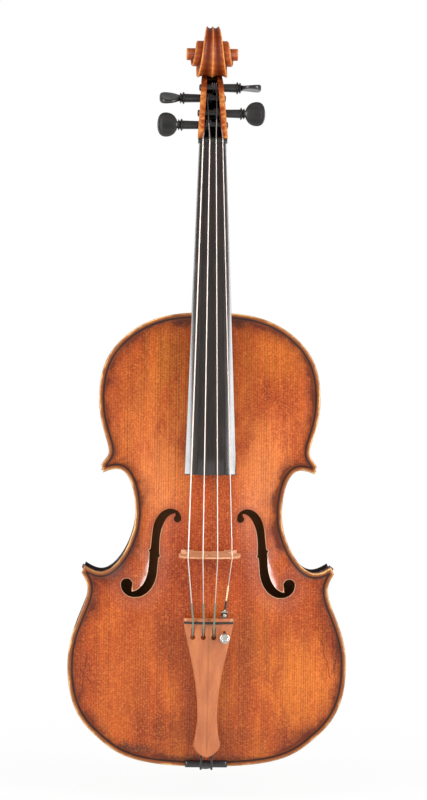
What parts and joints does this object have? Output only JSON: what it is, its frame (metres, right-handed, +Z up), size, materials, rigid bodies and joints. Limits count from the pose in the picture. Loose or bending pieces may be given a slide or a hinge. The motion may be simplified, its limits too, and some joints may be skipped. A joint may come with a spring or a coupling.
{
  "type": "viola",
  "caption": "Strung viola: arched plates with f-holes, bent ribs, neck with pegbox and carved scroll, turning pegs, bridge, tailpiece with one fine tuner.",
  "frame": {"origin": "the point under the eyes of the scroll where a hanger's two prongs carry its side turns", "axes": "+Z up the length towards the scroll, -Y out of the belly, +X to the right seen from the front"},
  "size_m": [0.2518, 0.1209, 0.6817],
  "materials": {
    "varnished_spruce": "satin",
    "varnished_maple": "satin",
    "bare_spruce": "matte",
    "bare_maple": "matte",
    "ebony": "satin",
    "boxwood": "satin",
    "wound_string": "satin",
    "tail_cord": "matte",
    "nickel": "gloss"
  },
  "bodies": {
    "viola": {"top_plate": "varnished_spruce", "back_plate": "varnished_maple", "top_purfling_left": "ebony", "top_purfling_right": "ebony", "back_purfling": "ebony", "upper_rib_left": "varnished_maple", "upper_rib_right": "varnished_maple", "waist_rib_left": "varnished_maple", "waist_rib_right": "varnished_maple", "lower_rib_left": "varnished_maple", "lower_rib_right": "varnished_maple", "top_lining_upper_left": "bare_spruce", "top_lining_upper_right": "bare_spruce", "top_lining_waist_left": "bare_spruce", "top_lining_waist_right": "bare_spruce", "top_lining_lower_left": "bare_spruce", "top_lining_lower_right": "bare_spruce", "back_lining_upper_left": "bare_spruce", "back_lining_upper_right": "bare_spruce", "back_lining_waist_left": "bare_spruce", "back_lining_waist_right": "bare_spruce", "back_lining_lower_left": "bare_spruce", "back_lining_lower_right": "bare_spruce", "upper_block": "bare_spruce", "lower_block": "bare_spruce", "upper_corner_block_left": "bare_spruce", "upper_corner_block_right": "bare_spruce", "lower_corner_block_left": "bare_spruce", "lower_corner_block_right": "bare_spruce", "bass_bar": "bare_spruce", "sound_post": "bare_spruce", "neck_scroll": "varnished_maple", "fingerboard": "ebony", "nut": "ebony", "string_c": "wound_string", "string_g": "wound_string", "string_d": "wound_string", "string_a": "wound_string", "bridge": "bare_maple", "tailpiece": "boxwood", "tailpiece_rest": "ebony", "tailgut": "tail_cord", "saddle": "ebony", "end_button": "ebony", "tuner_frame": "nickel", "tuner_clamp_nut": "nickel", "tuner_pin": "nickel"},
    "c_peg": {"peg_c": "ebony", "winding_c": "wound_string"},
    "g_peg": {"peg_g": "ebony", "winding_g": "wound_string"},
    "d_peg": {"peg_d": "ebony", "winding_d": "wound_string"},
    "a_peg": {"peg_a": "ebony", "winding_a": "wound_string"},
    "screw": {"tuner_screw": "nickel"},
    "knob": {"tuner_knob": "nickel"},
    "lever": {"tuner_lever": "nickel", "string_a_ball": "nickel"}
  },
  "joints": [
    {"name": "c_peg_turn", "type": "hinge", "parent": "viola", "child": "c_peg", "pos_m": [0, -0.0228, -0.0566], "axis": [1, 0, 0], "continuous": true},
    {"name": "g_peg_turn", "type": "hinge", "parent": "viola", "child": "g_peg", "pos_m": [0, -0.00993, -0.0302], "axis": [1, 0, 0], "continuous": true},
    {"name": "d_peg_turn", "type": "hinge", "parent": "viola", "child": "d_peg", "pos_m": [0, -0.00768, -0.02], "axis": [1, 0, 0], "continuous": true},
    {"name": "a_peg_turn", "type": "hinge", "parent": "viola", "child": "a_peg", "pos_m": [0, -0.01827, -0.0451], "axis": [1, 0, 0], "continuous": true},
    {"name": "tuner_slide", "type": "slide", "parent": "viola", "child": "screw", "axis": [0, 1, 0], "range_m": [-0.001, 0.002]},
    {"name": "tuner_turn", "type": "hinge", "parent": "screw", "child": "knob", "pos_m": [0.014, -0.072, -0.5183], "axis": [0, 1, 0], "range_deg": [-721, 1441]},
    {"name": "tuner_tilt", "type": "hinge", "parent": "viola", "child": "lever", "pos_m": [0.014, -0.05981, -0.5033], "axis": [1, 0, 0], "range_deg": [-3.9, 7.7]}
  ],
  "couplings": [
    {"joint": "tuner_turn", "follows": "tuner_slide", "rad_per_m": 12566},
    {"joint": "tuner_tilt", "follows": "tuner_slide", "rad_per_m": 66.667}
  ]
}
